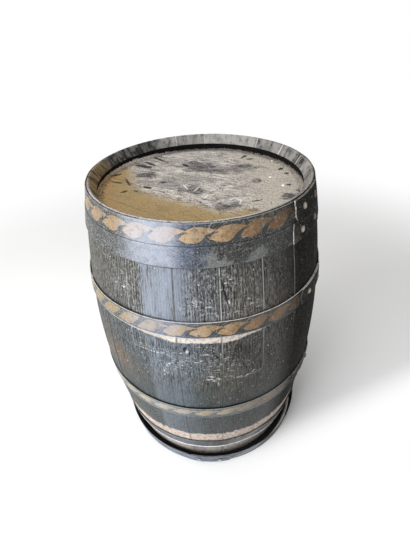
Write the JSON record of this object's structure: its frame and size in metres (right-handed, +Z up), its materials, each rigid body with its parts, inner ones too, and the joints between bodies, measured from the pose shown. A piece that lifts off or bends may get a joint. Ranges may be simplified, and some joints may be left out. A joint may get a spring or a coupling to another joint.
{
  "type": "wooden barrel",
  "caption": "Standing wooden barrel of bowed staves with jointed heads, riveted steel hoops with a painted rope band, a loose hoop round its foot and a pull-out bung.",
  "frame": {"origin": "on the floor, at the barrel's axis", "axes": "+Z up along the barrel's axis; -Y is the side that the picture shows, with the hoop laps towards +X and the bung at the back, towards +Y"},
  "size_m": [0.6625, 0.6711, 0.89],
  "materials": {
    "painted_oak": "worn satin black paint over oak, dusty, with bare bands",
    "head_oak": "worn ochre paint and grey dust over oak boards",
    "dowel_oak": "plain oak",
    "painted_hoop_steel": "worn satin black paint with an ochre rope band",
    "worn_hoop_steel": "worn blue-grey paint, scuffed",
    "rivet_steel": "worn black paint over hammered steel",
    "nail_iron": "rusted",
    "bung_wood": "plain turned wood, worn"
  },
  "bodies": {
    "cask": {"stave_01": "painted_oak", "stave_02": "painted_oak", "stave_03": "painted_oak", "stave_04": "painted_oak", "stave_05": "painted_oak", "stave_06": "painted_oak", "stave_07": "painted_oak", "stave_08": "painted_oak", "stave_09": "painted_oak", "stave_10": "painted_oak", "stave_11": "painted_oak", "stave_12": "painted_oak", "stave_13": "painted_oak", "stave_14": "painted_oak", "stave_15": "painted_oak", "stave_16": "painted_oak", "stave_17": "painted_oak", "stave_18": "painted_oak", "stave_19": "painted_oak", "stave_20": "painted_oak", "top_head_board_1": "head_oak", "top_head_board_2": "head_oak", "top_head_board_3": "head_oak", "top_head_board_4": "head_oak", "top_head_board_5": "head_oak", "top_head_board_6": "head_oak", "bottom_head_board_1": "head_oak", "bottom_head_board_2": "head_oak", "bottom_head_board_3": "head_oak", "bottom_head_board_4": "head_oak", "bottom_head_board_5": "head_oak", "bottom_head_board_6": "head_oak", "top_head_dowels": "dowel_oak", "bottom_head_dowels": "dowel_oak", "top_head_hoop": "painted_hoop_steel", "top_head_hoop_rivets": "rivet_steel", "top_quarter_hoop": "painted_hoop_steel", "top_quarter_hoop_rivets": "rivet_steel", "upper_bilge_hoop": "painted_hoop_steel", "upper_bilge_hoop_rivets": "rivet_steel", "lower_bilge_hoop": "painted_hoop_steel", "lower_bilge_hoop_rivets": "rivet_steel", "bottom_quarter_hoop": "painted_hoop_steel", "bottom_quarter_hoop_rivets": "rivet_steel", "foot_nails": "nail_iron"},
    "loose_hoop": {"loose_foot_hoop": "worn_hoop_steel", "loose_foot_hoop_rivets": "rivet_steel"},
    "bung": {"bung": "bung_wood"}
  },
  "joints": [
    {"name": "loose_hoop_lift", "type": "slide", "parent": "cask", "child": "loose_hoop", "axis": [-0.1128, 0.0451, 0.9926], "range_m": [0, 0.044]},
    {"name": "bung_pull", "type": "slide", "parent": "cask", "child": "bung", "axis": [-0.0898, 0.996, 0], "range_m": [0, 0.06]}
  ]
}
